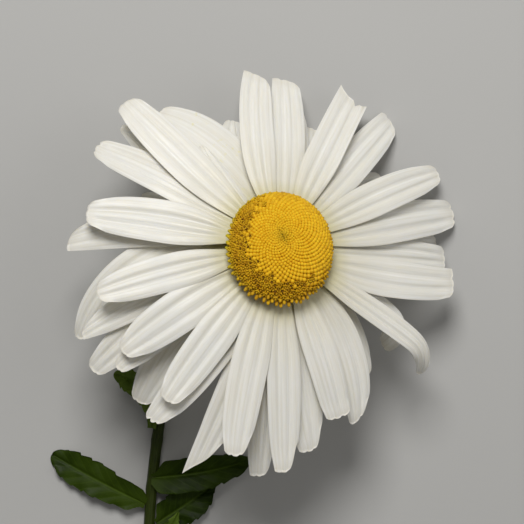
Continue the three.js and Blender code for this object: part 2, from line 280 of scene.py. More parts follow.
def closed_sheet(top, bottom):
    """Points and quads of a closed thin sheet from its two faces, each rows x columns x 3."""
    rows, columns = top.shape[:2]
    layer = rows * columns
    faces = [grid_faces(rows, columns, flip=True), grid_faces(rows, columns, first=layer)]
    rim = [i * columns for i in range(rows)]
    rim += [(rows - 1) * columns + j for j in range(1, columns)]
    rim += [i * columns + columns - 1 for i in range(rows - 2, -1, -1)]
    rim += [j for j in range(columns - 2, 0, -1)]
    rim = np.array(rim)
    following = np.roll(rim, -1)
    faces.append(np.stack([rim, following, following + layer, rim + layer], -1))
    points = np.vstack([top.reshape(-1, 3), bottom.reshape(-1, 3)])
    return points, np.vstack(faces)


# ---- materials ---------------------------------------------------------------------------------
class Nodes:
    """A short way to write a material's nodes."""

    def __init__(self, name):
        self.material = bpy.data.materials.new(name)
        self.material.use_nodes = True
        self.tree = self.material.node_tree
        self.shader = self.tree.nodes["Principled BSDF"]

    def add(self, kind, inputs=None, **settings):
        node = self.tree.nodes.new(kind)
        for key, value in settings.items():
            setattr(node, key, value)
        for key, value in (inputs or {}).items():
            self.set(node.inputs[key], value)
        return node

    def set(self, socket, value):
        if isinstance(value, bpy.types.NodeSocket):
            self.tree.links.new(value, socket)
        else:
            socket.default_value = value

    def coordinates(self):
        """The UV map, and the place on the object in metres."""
        outputs = self.add("ShaderNodeTexCoord").outputs
        return outputs["UV"], outputs["Object"]

    def math(self, operation, a, b=0.0):
        return self.add("ShaderNodeMath", {0: a, 1: b}, operation=operation).outputs[0]

    def ramp(self, value, low, high):
        """0 at the low value, 1 at the high one, straight between them and level past them."""
        inputs = {"Value": value, "From Min": low, "From Max": high}
        return self.add("ShaderNodeMapRange", inputs, clamp=True).outputs["Result"]

    def fade(self, value, low, high):
        """1 at the low value and 0 at the high one."""
        return self.math("SUBTRACT", 1.0, self.ramp(value, low, high))

    def mix(self, share, a, b):
        node = self.add("ShaderNodeMix", data_type="RGBA")
        self.set(node.inputs[0], share)
        self.set(node.inputs[6], a)
        self.set(node.inputs[7], b)
        return node.outputs[2]

    def tint(self, colour, mask, strength, other):
        """The colour, mixed with another one where the mask is 1, by as much as the strength."""
        return self.mix(self.math("MULTIPLY", mask, strength), colour, other)

    def noise(self, vector, scale, detail, rough=0.5):
        inputs = {"Vector": vector, "Scale": scale, "Detail": detail, "Roughness": rough}
        return self.add("ShaderNodeTexNoise", inputs).outputs["Fac"]

    def streaks(self, uv, across, along, detail, rough=0.5):
        """Noise with so many streaks across the UV map and so many along it."""
        stretched = self.add("ShaderNodeMapping", {"Vector": uv, "Scale": (across, along, 1)})
        return self.noise(stretched.outputs["Vector"], 1.0, detail, rough)

    def bumpy(self, height, strength, distance, normal=None):
        inputs = {"Height": height, "Strength": strength, "Distance": distance}
        if normal is not None:
            inputs["Normal"] = normal
        return self.add("ShaderNodeBump", inputs).outputs["Normal"]

    def surface(self, inputs):
        """Set the shader's sockets, and give back the material."""
        for key, value in inputs.items():
            self.set(self.shader.inputs[key], value)
        return self.material


def rgb(red, green, blue):
    """A colour given as it looks on a screen, 0 to 255, as the linear colour that shaders take."""
    shares = [channel / 255 for channel in (red, green, blue)]
    linear = [c / 12.92 if c <= 0.04045 else ((c + 0.055) / 1.055) ** 2.4 for c in shares]
    return (*linear, 1)


PETAL_WHITE = rgb(251, 249, 242)
PETAL_CREAM = rgb(231, 226, 212)
PETAL_FIBRE = rgb(222, 217, 198)
PETAL_CLOUD = rgb(226, 228, 226)
PETAL_LOWER = rgb(212, 203, 172)
PETAL_FOOT = rgb(190, 180, 104)
PETAL_TIP = rgb(214, 206, 188)
POLLEN = rgb(234, 222, 130)

BUD_LIGHT = rgb(236, 190, 30)
BUD_DARK = rgb(222, 170, 16)
# Painted shade at the foot of a bud, where the florets shade each other.
BUD_PAINTED_SHADE = rgb(176, 132, 8)
OPEN_LIGHT = rgb(222, 174, 20)
OPEN_DARK = rgb(180, 128, 8)
# Painted shade at the foot of an open floret, between its neighbours.
OPEN_PAINTED_SHADE = rgb(104, 72, 10)
FLORET_GREEN = rgb(176, 172, 24)
# Painted shade in the dip and crease in the middle of the disc.
DIP_PAINTED_SHADE = rgb(128, 108, 6)
FLORET_GRAIN = rgb(244, 204, 50)
ANTHER_BROWN = rgb(88, 44, 14)

LEAF_VEIN = rgb(66, 86, 18)
LEAF_MIDRIB = rgb(80, 102, 26)
LEAF_FOOT_GREEN = rgb(66, 84, 18)
LEAF_VEIN_SLANT = 0.44  # leaf lengths that a side vein runs forwards in one leaf width
LEAF_VEIN_BEAT = 32.0  # radians along a leaf, which make ten side veins


def petal_material(name, pollen):
    """A petal, veined lengthwise and yellow at its foot; u runs across it and v along it."""
    n = Nodes(name)
    uv, place = n.coordinates()
    along = n.add("ShaderNodeSeparateXYZ", {0: uv}).outputs["Y"]
    veins = n.streaks(uv, 13, 1.1, 3.0)
    fine = n.streaks(uv, 80, 5, 2.0)
    cloud = n.noise(place, 120, 3.0)
    colour = n.mix(n.ramp(veins, 0.3, 0.7), PETAL_CREAM, PETAL_WHITE)
    colour = n.tint(colour, n.ramp(fine, 0.45, 0.8), 0.35, PETAL_FIBRE)
    colour = n.tint(colour, n.ramp(cloud, 0.4, 0.75), 0.25, PETAL_CLOUD)
    colour = n.tint(colour, n.fade(along, 0.05, 0.5), 0.55, PETAL_LOWER)
    colour = n.tint(colour, n.fade(along, 0.02, 0.2), 0.7, PETAL_FOOT)
    colour = n.tint(colour, n.ramp(along, 0.93, 1.0), 0.35, PETAL_TIP)
    if pollen:
        specks = n.ramp(n.noise(place, 700, 2.0, 0.7), 0.6, 0.68)
        patch = n.ramp(n.noise(place, 90, 1.0), 0.5, 0.62)
        colour = n.tint(colour, n.math("MULTIPLY", specks, patch), 0.5, POLLEN)
    relief = n.bumpy(veins, 0.4, 0.00025)
    return n.surface({
        "Base Color": colour,
        "Roughness": n.ramp(cloud, -0.4, 1.7),
        "Specular IOR Level": 0.5,
        "Subsurface Weight": 0.3,
        "Subsurface Radius": (1.0, 0.85, 0.6),
        "Subsurface Scale": 0.0012,
        "Normal": n.bumpy(fine, 0.12, 0.0001, relief),
    })


def disc_material():
    """The disc florets. The attribute named tone holds height up the floret, which paints shade darker
    towards its foot, its age (-1 in the very middle, where it paints olive shade into the dip and crease,
    0 a bud, 1 open, 1.5 open and greenish), a random share, and how brown its anthers are."""
    n = Nodes("disc_yellow")
    tone = n.add("ShaderNodeAttribute", attribute_name="tone")
    parts = n.add("ShaderNodeSeparateColor", {0: tone.outputs["Color"]})
    height, age, chance = (parts.outputs[i] for i in range(3))
    grain = n.noise(n.coordinates()[1], 1500, 2.0)
    opened = n.ramp(age, 0.0, 1.0)
    bud = n.mix(chance, BUD_LIGHT, BUD_DARK)
    colour = n.mix(opened, bud, n.mix(chance, OPEN_LIGHT, OPEN_DARK))
    colour = n.mix(n.ramp(age, 1.0, 1.5), colour, FLORET_GREEN)
    # Painted shade: olive in the dip and crease in the very middle.
    colour = n.mix(n.ramp(age, 0.0, -1.0), colour, DIP_PAINTED_SHADE)
    colour = n.tint(colour, n.ramp(grain, 0.35, 0.8), 0.5, FLORET_GRAIN)
    # Painted shade: each floret is darker towards its foot, down among the others.
    colour = n.mix(n.fade(height, 0.1, 0.7), colour, n.mix(opened, BUD_PAINTED_SHADE, OPEN_PAINTED_SHADE))
    colour = n.tint(colour, tone.outputs["Alpha"], 0.85, ANTHER_BROWN)
    return n.surface({
        "Base Color": colour,
        "Roughness": n.ramp(grain, -1.0, 1.3),
        "Specular IOR Level": 0.2,
        "Subsurface Weight": 0.15,
        "Subsurface Radius": (1.0, 0.8, 0.2),
        "Subsurface Scale": 0.0006,
        "Normal": n.bumpy(grain, 0.3, 0.0001),
    })


def green_material(name, dark, light, fibre_counts, edge=None):
    """A plant green, mottled and lightly ribbed lengthwise. edge tints the margins."""
    n = Nodes(name)
    uv, place = n.coordinates()
    fibres = n.streaks(uv, *fibre_counts, 4.0, 0.6)
    cloud = n.noise(place, 160, 4.0)
    pores = n.noise(place, 2200, 2.0)
    colour = n.mix(n.ramp(fibres, 0.3, 0.7), dark, light)
    colour = n.tint(colour, n.ramp(cloud, 0.45, 0.7), 0.4, light)
    if edge:
        across = n.add("ShaderNodeSeparateXYZ", {0: uv}).outputs["X"]
        off_middle = n.math("ABSOLUTE", n.math("SUBTRACT", across, 0.5))
        colour = n.mix(n.ramp(off_middle, 0.38, 0.5), colour, edge)
    relief = n.bumpy(fibres, 0.4, 0.0002)
    return n.surface({
        "Base Color": colour,
        "Roughness": n.ramp(cloud, -0.4, 1.6),
        "Specular IOR Level": 0.2,
        "Normal": n.bumpy(pores, 0.2, 0.0001, relief),
    })


def leaf_material(name, dark, light, patch):
    """A leaf with a faint midrib and side veins; u runs across it and v along it."""
    n = Nodes(name)
    uv, place = n.coordinates()
    parts = n.add("ShaderNodeSeparateXYZ", {0: uv})
    along = parts.outputs["Y"]
    off_middle = n.math("ABSOLUTE", n.math("SUBTRACT", parts.outputs["X"], 0.5))
    cloud = n.noise(place, 260, 4.0)
    wide = n.noise(place, 70, 2.0)
    pores = n.noise(place, 1800, 3.0)
    slanted = n.math("SUBTRACT", along, n.math("MULTIPLY", off_middle, LEAF_VEIN_SLANT))
    wave = n.math("ABSOLUTE", n.math("SINE", n.math("MULTIPLY", slanted, LEAF_VEIN_BEAT)))
    side_vein = n.fade(wave, 0.0, 0.35)
    midrib = n.fade(off_middle, 0.01, 0.05)
    midrib_strength = n.math("SUBTRACT", 0.5, n.math("MULTIPLY", along, 0.4))
    colour = n.mix(n.ramp(cloud, 0.3, 0.7), dark, light)
    colour = n.tint(colour, n.ramp(wide, 0.45, 0.7), 0.4, patch)
    colour = n.tint(colour, side_vein, 0.25, LEAF_VEIN)
    colour = n.tint(colour, midrib, midrib_strength, LEAF_MIDRIB)
    colour = n.tint(colour, n.fade(along, 0.0, 0.2), 0.35, LEAF_FOOT_GREEN)
    relief = n.bumpy(side_vein, -0.25, 0.0003)
    return n.surface({
        "Base Color": colour,
        "Roughness": n.ramp(cloud, -0.7, 1.8),
        "Specular IOR Level": 0.1,
        "Normal": n.bumpy(pores, 0.3, 0.00015, relief),
    })


def floor_material():
    n = Nodes("floor_pale")
    place = n.coordinates()[1]
    return n.surface({
        "Base Color": n.mix(n.noise(place, 3.0, 3.0), rgb(184, 184, 183), rgb(190, 190, 189)),
        "Roughness": 0.9,
        "Normal": n.bumpy(n.noise(place, 900, 2.0), 0.05, 0.0001),
    })


PETAL = petal_material("petal_white", pollen=False)
DUSTED_PETAL = petal_material("petal_dusted", pollen=True)
DISC = disc_material()
BRACT = green_material("bract_green", rgb(70, 84, 34), rgb(112, 124, 62), (30, 2), rgb(120, 92, 50))
STEM = green_material("stem_green", rgb(26, 36, 3), rgb(52, 64, 12), (24, 60))
LEAF = leaf_material("leaf_green", rgb(25, 40, 1), rgb(44, 61, 6), rgb(58, 77, 7))
# A copy of the leaf green painted lighter, as painted light, for two small leaves.
PAINTED_LIT_LEAF = leaf_material("leaf_painted_lit", rgb(66, 86, 20), rgb(100, 122, 46), rgb(118, 138, 64))
PAINTED_LIT_LEAVES = ("leaf_upper", "leaf_lowest")


# ---- ray florets -------------------------------------------------------------------------------
RAY_STEPS = 56
RAY_COLUMNS = 28
RAY_CLAW_WIDTH = 3.4  # width at the foot; the CAD has less, so that its rays stay apart
RAY_WIDEST = 0.46  # where along a ray it is widest
RAY_NARROWING = 2.6  # the higher, the later it narrows towards its tip
RAY_THICKNESS = 0.26
RAY_ROLL = 5  # most degrees that a ray turns about its own length

TIP_SHARE = (0.5, 0.6)
TIP_SHOULDERS = (0.045, 0.045)
TIP_NOTCH = (0.001, 0.009)
NOTCH_WIDTH = 0.12

# Across a ray, places and widths are shares of half its width, and heights and depths are in mm.
GROOVE_PLACE = 0.33  # how far from the middle each of the two grooves runs
GROOVE_STRAY = 0.06
GROOVE_WIDTH = 0.13
GROOVE_DEPTH = (0.38, 0.66)
MARGIN_DROP = 0.75  # how far its margins bend down
RIPPLE_HEIGHT = 0.03
RIPPLE_BEAT = 11
RIPPLE_DRIFT = 1.5
WAVE_HEIGHT = 0.22
WAVE_BEAT = 5.5
DUSTED_RAYS = (39, 40)


def ray_half_width(s, width, tip_share):
    claw = RAY_CLAW_WIDTH / width
    swelling = np.sin(np.minimum(s / RAY_WIDEST, 1) * math.pi / 2)
    narrowing = np.maximum((s - RAY_WIDEST) / (1 - RAY_WIDEST), 0) ** RAY_NARROWING
    return width / 2 * (claw + (1 - claw) * swelling) * (1 - (1 - tip_share) * narrowing)


def ray_tip(number):
    """The shape of a ray's tip: the usual one, unless RAY_TIPS has another."""
    tip = {"share": random.uniform(*TIP_SHARE), "slant": 0.0, "shoulders": TIP_SHOULDERS}
    tip.update(notch=random.uniform(*TIP_NOTCH, 2), edge=0, ridge=1)
    tip.update(RAY_TIPS.get(number, {}))
    return tip


def make_ray(number, ray):
    bearing, row, length, width, sweep, extra_droop = ray
    curl, hook = CURLED_RAYS.get(number, (0, 0))
    tip = ray_tip(number)
    pitch = RAY_FRONT_PITCH + RAY_TIER_PITCH * row
    droop = RAY_FRONT_DROOP + RAY_TIER_DROOP * row + extra_droop
    grooves = GROOVE_PLACE + random.uniform(-GROOVE_STRAY, GROOVE_STRAY, 2)
    depth = random.uniform(*GROOVE_DEPTH) * tip["ridge"]
    ripple_phase, wave_phase = random.uniform(0, 2 * math.pi, 2)
    roll = random.uniform(-RAY_ROLL, RAY_ROLL)
    s = np.linspace(0, 1, RAY_STEPS)
    v = np.sin(np.linspace(-1, 1, RAY_COLUMNS) * math.pi / 2)[None, :]  # closer towards the edges
    at, tangent, side, up = middle_line(
        direction(np.float64(bearing), 0.0) * RAY_RING_RADIUS - np.array([0, 0, row * RAY_TIER_STEP]),
        length,
        lambda x: bearing + sweep * x + hook * smooth(RAY_CURL_START, 1, x),
        lambda x: pitch + droop * x + curl * smooth(RAY_CURL_START, 1, x),
        lambda x: roll * smooth(0.1, 0.8, x),
        s,
    )
    s = s[:, None]
    half = ray_half_width(s, width, tip["share"])

    # How far each point falls back from a straight tip, as a share of the length.
    fall = np.where(v > 0, *tip["shoulders"]) * np.abs(v) ** 3 + tip["slant"] * v
    fall = fall + tip["notch"][0] * bump(v, grooves[0], NOTCH_WIDTH)
    fall = fall + tip["notch"][1] * bump(v, -grooves[1], NOTCH_WIDTH)
    ending = smooth(0.8, 1, s)

    # How high each point stands off the middle line: a shallow channel, two grooves, fine ripples.
    channel = RAY_CHANNEL * half * (v * v - 0.4) * smooth(0, 0.25, s)
    strength = smooth(0.02, 0.25, s) * (1 - 0.75 * smooth(0.85, 1, s))
    ridges = -depth * strength * (bump(v, grooves[0], GROOVE_WIDTH) + bump(v, -grooves[1], GROOVE_WIDTH))
    ridges = ridges - MARGIN_DROP * strength * np.abs(v) ** 3
    ripples = RIPPLE_HEIGHT * strength * np.cos(RIPPLE_BEAT * v + ripple_phase + RIPPLE_DRIFT * s)
    wave = WAVE_HEIGHT * np.sin(WAVE_BEAT * s + wave_phase) * smooth(0.1, 0.4, s)
    folded = tip["edge"] * smooth(0.6, 1, v) * smooth(0.2, 0.5, s)
    height = channel + ridges + ripples + wave + folded

    thick = RAY_THICKNESS * (1 - 0.45 * v**4) * (1 - 0.3 * ending)
    reach = v * half * (1 - 0.12 * tip["edge"] * smooth(0.6, 1, v))

    def layer(sign):
        points = at[:, None] + side[:, None] * reach[..., None]
        points = points - tangent[:, None] * (fall * ending * length)[..., None]
        return points + up[:, None] * (height + sign * thick / 2)[..., None]

    points, faces = closed_sheet(layer(1), layer(-1))
    points = from_head(points)
    name = f"ray_floret_{number:02d}"
    material = DUSTED_PETAL if number in DUSTED_RAYS else PETAL
    make_piece(f"petal_{number:02d}", points, faces, material, name, sheet_uv(v, s))


# ---- the disc ----------------------------------------------------------------------------------
# A share below is a share of the way from the middle of the disc to its rim.
DISC_FLANK = 12.0  # length of the way down from the flat middle to the rim
DISC_SPREAD = 1.045
DISC_OVAL = (0.045, 195)  # how much farther it reaches lengthwise, and the bearing of its length
DISC_LEAN = (0.04, 240)  # how much farther it reaches on one side, and the bearing of that side
DIP_DEPTH = 0.35
DIP_RADIUS = 2.4

GOLDEN_ANGLE = 137.508
# Pairs of a share, and how far apart the florets stand there.
FLORET_SPACING = ((0.0, 0.44), (0.2, 0.64), (0.4, 0.8), (0.55, 0.92), (0.7, 1.06), (1.0, 1.18))
FLORET_STRAY = 0.05
BUD_HEIGHT = 1.3
OPEN_HEIGHT = 1.9
SUNK = 0.98  # share of an open floret's height that lies below the surface of the dome

OPEN_FROM = 0.62  # the share from which florets are open, on average
OPEN_STRAY = 0.09
OPEN_LEAN = 0.1  # how much sooner they open on one side
OPEN_BEARING = 262
OPEN_SIDE_BEARING = 232  # the middle of the side where they are fully open
SPLAY_BEARING = 195  # the outer florets splay most on this side
GREEN_BEARING = 290  # and they are greenest on this one
RIM_FROM = 0.9  # the share from which they are slim closed tubes
BUD_SIZE = 1.1  # widths against the spacing
OPEN_SIZE = 1.22
RIM_SIZE = 0.72

MIDDLE_OFFSET = 1.6  # how far the middle of the spiral lies off the axis
MIDDLE_BEARING = 328
CREASE_BEARING = 150  # the way that the crease in the middle runs
CREASE_LENGTH = 1.7
CREASE_WIDTH = 0.4
CREASE_DEPTH = 0.42

BED_SINK = 0.7  # how far the bed lies below the dome, and how much more in the middle
BED_MIDDLE_SINK = 0.75
BED_MIDDLE = 0.22
# The bed is painted mostly in the shade colour of the florets' feet.
BED_TONE = (0.2, 0.2, 0.5, 0.0)
# Radius and height, from the foot of the cup up to the ring of rays.
CUP_PROFILE = (
    (1.9, -CUP_DEPTH),
    (4.2, -8.3),
    (6.8, -7.3),
    (8.9, -5.9),
    (9.9, -4.8),
    (9.8, -3.8),
    (9.6, -1.0),
    (9.5, 0.1),
)


def likeness(bearing, other):
    """1 where two bearings are the same, and -1 where they are opposite."""
    return math.cos(math.radians(bearing - other))


def dome(share):
    """Radius, height and outward slope (degrees from the axis) at a share of the way to the rim."""
    flat = DISC_DIMPLE_RADIUS / (DISC_DIMPLE_RADIUS + DISC_FLANK)
    angle = (1 - np.clip((share - flat) / (1 - flat), 0, 1)) * math.pi / 2
    shoulder = (DISC_RADIUS - DISC_DIMPLE_RADIUS) * np.cos(angle)
    radius = np.minimum(share / flat, 1) * DISC_DIMPLE_RADIUS + shoulder
    height = DISC_EDGE + (DISC_CROWN - DISC_EDGE) * np.sin(angle)
    slope = 90 - np.degrees(angle)
    return radius, height, slope


def disc_spread(bearing):
    """How far the disc reaches at a bearing, against a round one."""
    oval = DISC_OVAL[0] * np.cos(np.radians(2 * (bearing - DISC_OVAL[1])))
    return DISC_SPREAD + oval + DISC_LEAN[0] * np.cos(np.radians(bearing - DISC_LEAN[1]))


def disc_point(share, bearing):
    """A point of the disc's surface, with its outward unit vector, slope and depth of the crease."""
    radius, height, slope = (float(value) for value in dome(share))
    outward = direction(np.float64(bearing), 0.0)
    spread = 1 + (float(disc_spread(bearing)) - 1) * share**2
    middle = direction(np.float64(MIDDLE_BEARING), 0.0) * MIDDLE_OFFSET * (1 - share)
    flat = outward * radius
    along = float(flat @ direction(np.float64(CREASE_BEARING), 0.0))
    across = float(flat @ direction(np.float64(CREASE_BEARING + 90), 0.0))
    crease = math.exp(-((along / CREASE_LENGTH) ** 2) - (across / CREASE_WIDTH) ** 2)
    dip = DIP_DEPTH * math.exp(-((radius / DIP_RADIUS) ** 2)) + CREASE_DEPTH * crease
    return flat * spread + middle + np.array([0, 0, height - dip]), outward, slope, crease


def floret_shares():
    """Where each floret of the spiral stands, from the spacing that florets keep."""
    share = np.linspace(0, 1, 400)
    radius, height, _ = dome(share)
    stride = np.hypot(np.diff(radius), np.diff(height))
    spacing = np.interp(share[1:], *zip(*FLORET_SPACING))
    room = spacing**2 * math.sqrt(3) / 2
    count = np.cumsum(math.pi * (radius[1:] + radius[:-1]) * stride / room)
    return np.interp(np.arange(int(count[-1])) + 0.5, count, share[1:])


def bud_template():
    """A closed floret one unit across and one high: points, faces, height up it, and anthers."""
    sides = 10
    angle = around(sides)
    lift = (0, 0.3, 0.6, 0.82, 0.95, 1.0)
    width = (0.42, 0.5, 0.54, 0.46, 0.28, 0.1)
    rings = []
    for height, radius in zip(lift, width):
        lobes = 1 + 0.08 * np.cos(5 * angle) * smooth(0.3, 0.9, height)
        rings.append(ring(radius * lobes, angle, height))
    points = np.vstack(rings + [[[0, 0, 0.97]]])
    faces = [tuple(f) for f in grid_faces(len(rings), sides, wrap=True)]
    last = (len(rings) - 1) * sides
    faces += [(last + j, last + (j + 1) % sides, len(points) - 1) for j in range(sides)]
    # Height up the bud, which the disc material uses to paint shade darker towards its foot.
    return points, faces, np.clip(points[:, 2], 0, 1), np.zeros(len(points))


def open_template():
    """An open floret: a tube that spreads into five blunt lobes round a short column of anthers."""
    sides = 20
    angle = around(sides)
    lobe = np.clip(0.5 + 0.5 * np.cos(5 * angle), 0, 1) ** 0.7
    tube = (  # radius between lobes and at a lobe's middle, height at both, and tone, which paints shade darker towards 0
        (0.22, 0.22, 0.0, 0.0, 0.0),
        (0.24, 0.26, 0.5, 0.5, 0.3),
        (0.32, 0.40, 0.76, 0.78, 0.6),
        (0.38, 0.58, 0.84, 0.9, 0.85),
        (0.38, 0.66, 0.86, 0.95, 1.0),
        (0.35, 0.58, 0.88, 1.0, 1.0),
        (0.27, 0.36, 0.86, 0.97, 0.8),
        (0.17, 0.19, 0.7, 0.7, 0.1),
    )
    points, lift, anther = [], [], []
    for gap, reach, low, high, tone in tube:
        points.append(ring(gap + (reach - gap) * lobe, angle, low + (high - low) * lobe))
        # Painted shade: the floret is darker lower on its tube and between its lobes.
        lift.append(tone * (0.75 + 0.25 * lobe))
        anther.append(np.zeros(sides))
    faces = [tuple(f) for f in grid_faces(len(tube), sides, wrap=True)]
    first = len(tube) * sides
    sides = 8
    # The anther column is also painted darker towards its foot, as shade.
    column = ((0.15, 0.6, 0.2), (0.17, 0.92, 0.7), (0.14, 1.02, 1.0), (0.07, 1.06, 1.0))
    for radius, height, tone in column:
        points.append(ring(radius, around(sides), height))
        lift.append(np.full(sides, tone))
        anther.append(np.ones(sides))
    faces += [tuple(f) for f in grid_faces(len(column), sides, wrap=True, first=first)]
    last = first + (len(column) - 1) * sides
    faces.append(tuple(last + j for j in range(sides)))
    return np.vstack(points), faces, np.concatenate(lift), np.concatenate(anther)


def floret_kind(share, bearing, spacing, crease):
    """Kind, size, height, lean and tone (age, how brown its anthers are) of one floret."""
    past = share - (OPEN_FROM - OPEN_LEAN * likeness(bearing, OPEN_BEARING))
    past = past + random.uniform(-OPEN_STRAY, OPEN_STRAY)
    facing = likeness(bearing, OPEN_SIDE_BEARING) + random.uniform(-0.2, 0.2)
    splay = 0.5 + 0.5 * likeness(bearing, SPLAY_BEARING)
    outer = float(smooth(0.7, 0.95, share))
    green = 0.5 * float(smooth(0.75, 1, share)) * max(likeness(bearing, GREEN_BEARING), 0.15)
    if past > 0 and share > RIM_FROM - 0.04 * splay + random.uniform(-0.03, 0.03):
        tall = OPEN_HEIGHT * (random.uniform(0.92, 1.04) + 0.16 * splay)
        return "bud", spacing * RIM_SIZE, tall, 4 * splay + random.uniform(-8, 8), 0.95 + green, 0.0
    if past > 0 and facing > -0.12:
        tall = OPEN_HEIGHT * random.uniform(0.92, 1.08)
        lean = (2 + 8 * splay) * outer + random.uniform(-9, 9)
        brown = float(bump(past, 0.05, 0.1)) * random.choice([0.4, 1.0])
        brown = brown * float(smooth(-0.1, 0.6, facing))
        return "open", spacing * OPEN_SIZE, tall, lean, 1.0 + green, brown
    young = 1 - 0.55 * (1 - float(smooth(0, 0.4, share)))
    # Below 0, age paints olive shade into the dip and crease in the middle.
    age = 0.55 * float(smooth(-0.1, 0.1, past)) - max(crease, math.exp(-((share / 0.1) ** 2)) * 0.5)
    tall = BUD_HEIGHT * young * random.uniform(0.97, 1.03) + random.uniform(0, 0.25) * float(past > 0)
    lean = random.uniform(-3, 3) * (1 + 2 * float(past > 0))
    return "bud", spacing * BUD_SIZE, tall, lean, age, 0.0


def make_disc():
    templates = {"bud": bud_template(), "open": open_template()}
    groups = {"bud": ([], [], []), "open": ([], [], [])}
    for n, share in enumerate(floret_shares()):
        bearing = n * GOLDEN_ANGLE
        top, outward, slope, crease = disc_point(share, bearing)
        spacing = float(np.interp(share, *zip(*FLORET_SPACING)))
        kind, size, tall, lean, age, brown = floret_kind(share, bearing, spacing, crease)
        tilt = math.radians(slope + lean)
        axis = outward * math.sin(tilt) + np.array([0, 0, math.cos(tilt)])
        across = np.cross(axis, outward + np.array([1e-3, 0, 1e-3]))  # never quite along the axis
        across = across / np.linalg.norm(across)
        basis = np.stack([across, np.cross(axis, across), axis], 0)
        shape, faces, lift, anther = templates[kind]
        spin = turning((0, 0, 1), random.uniform(0, 72))
        local = (shape @ spin.T) * np.array([size, size, tall]) @ basis
        points, quads, tones = groups[kind]
        first = sum(len(p) for p in points)
        stray = random.uniform(-FLORET_STRAY, FLORET_STRAY, 3)
        points.append(local + top + stray - axis * min(tall, OPEN_HEIGHT * SUNK))
        quads += [tuple(first + i for i in f) for f in faces]
        chance = np.full(len(lift), random.uniform(0, 1))
        tones.append(np.column_stack([lift, np.full(len(lift), age), chance, brown * anther]))
    for kind, name in (("bud", "disc_buds"), ("open", "disc_open_florets")):
        points, quads, tones = groups[kind]
        points = from_head(np.vstack(points))
        make_piece(name, points, quads, DISC, "disc_florets", tone=np.vstack(tones))


def turned(profile, sides):
    """Points, faces and uv of a closed solid turned about Z, from (radius, height) pairs."""
    angle = around(sides)
    rings = [ring(radius, angle, height) for radius, height in profile]
    points = np.vstack(rings + [[[0, 0, profile[0][1]]], [[0, 0, profile[-1][1]]]])
    faces = [tuple(f) for f in grid_faces(len(profile), sides, wrap=True)]
    last = (len(profile) - 1) * sides
    low, high = len(points) - 2, len(points) - 1
    faces += [((j + 1) % sides, j, low) for j in range(sides)]
    faces += [(last + j, last + (j + 1) % sides, high) for j in range(sides)]
    share = np.repeat(np.linspace(0, 1, len(profile)), sides)
    uv = np.column_stack([np.tile(angle / (2 * math.pi), len(profile)), share])
    return points, faces, np.vstack([uv, [[0, 0], [0, 1]]])


def make_receptacle():
    """The bed that the florets stand in, just inside the dome, and the cup under the rays."""
    bed = [(9.4, 0.2), (10.6, 0.9)]
    for share in np.linspace(0.98, 0.02, 24):
        radius, height, _ = dome(share)
        sunk = BED_SINK + BED_MIDDLE_SINK * math.exp(-((share / BED_MIDDLE) ** 2))
        bed.append((max(float(radius) - 1.1 * share, 0.05), float(height) - sunk))
    points, faces, uv = turned(bed, 72)
    # Painted shade: the bed takes the dark colour of the florets' feet.
    tone = np.tile(BED_TONE, (len(points), 1))
    make_piece("disc_bed", from_head(points), faces, DISC, "disc_florets", uv, tone)
    points, faces, uv = turned(CUP_PROFILE, 64)
    make_piece("receptacle", from_head(points), faces, BRACT, "involucral_bracts", uv)


# ---- green bracts under the head ---------------------------------------------------------------
BRACT_ROWS = [  # count, height of the foot, lean from the axis at foot and tip, length, width
    (18, -7.9, 70, 18, 6.6, 3.2),
    (21, -8.3, 78, 34, 6.0, 2.9),
    (16, -8.7, 82, 52, 4.6, 2.6),
]
BRACT_ROOT = 3.0  # length added to each bract, so that it reaches in to the stem
BRACT_START = 3.4  # how far from the axis the first row starts
BRACT_ROW_STEP = 0.5  # and how much nearer to it each further row does
BRACT_SHIFT = 0.37  # how far each row is turned against the last, in bracts
BRACT_WIDEST = 0.45
BRACT_THICKNESS = 0.26


def make_bract(bearing, start, length, width, lean, tip_lean):
    s = np.linspace(0, 1, 14)
    v = np.linspace(-1, 1, 9)[None, :]
    at, _, side, up = middle_line(
        start,
        length,
        lambda x: bearing + 0 * x,
        lambda x: lean - 90 + (tip_lean - lean) * x,
        lambda x: 0 * x,
        s,
    )
    s = s[:, None]
    half = width / 2 * (0.55 + 0.45 * np.sin(np.minimum(s / BRACT_WIDEST, 1) * math.pi / 2))
    half = half * (1 - 0.82 * np.maximum((s - BRACT_WIDEST) / (1 - BRACT_WIDEST), 0) ** 1.8)
    hollow = 0.16 * half * v * v
    keel = -0.12 * bump(v, 0, 0.2)
    thick = BRACT_THICKNESS * (1 - 0.5 * v * v)
    base = at[:, None] + side[:, None] * (v * half)[..., None]
    top = base + up[:, None] * (hollow + keel + thick / 2)[..., None]
    bottom = base + up[:, None] * (hollow + keel - thick / 2)[..., None]
    points, faces = closed_sheet(top, bottom)
    return points, faces, sheet_uv(v, s)


def make_bracts():
    every, quads, uvs = [], [], []
    for row, (count, foot, lean, tip_lean, length, width) in enumerate(BRACT_ROWS):
        for i in range(count):
            bearing = (i + BRACT_SHIFT * row) / count * 360 + random.uniform(-3, 3)
            start = direction(np.float64(bearing), 0.0) * (BRACT_START - BRACT_ROW_STEP * row)
            start = start + np.array([0, 0, foot + 0.3 * (i % 2)])
            reach = length * random.uniform(0.93, 1.07) + BRACT_ROOT
            points, faces, uv = make_bract(bearing, start, reach, width, lean, tip_lean)
            first = sum(len(p) for p in every)
            every.append(points)
            quads += [tuple(first + k for k in f) for f in faces]
            uvs.append(uv)
    points = from_head(np.vstack(every))
    make_piece("green_bracts", points, quads, BRACT, "involucral_bracts", np.vstack(uvs))


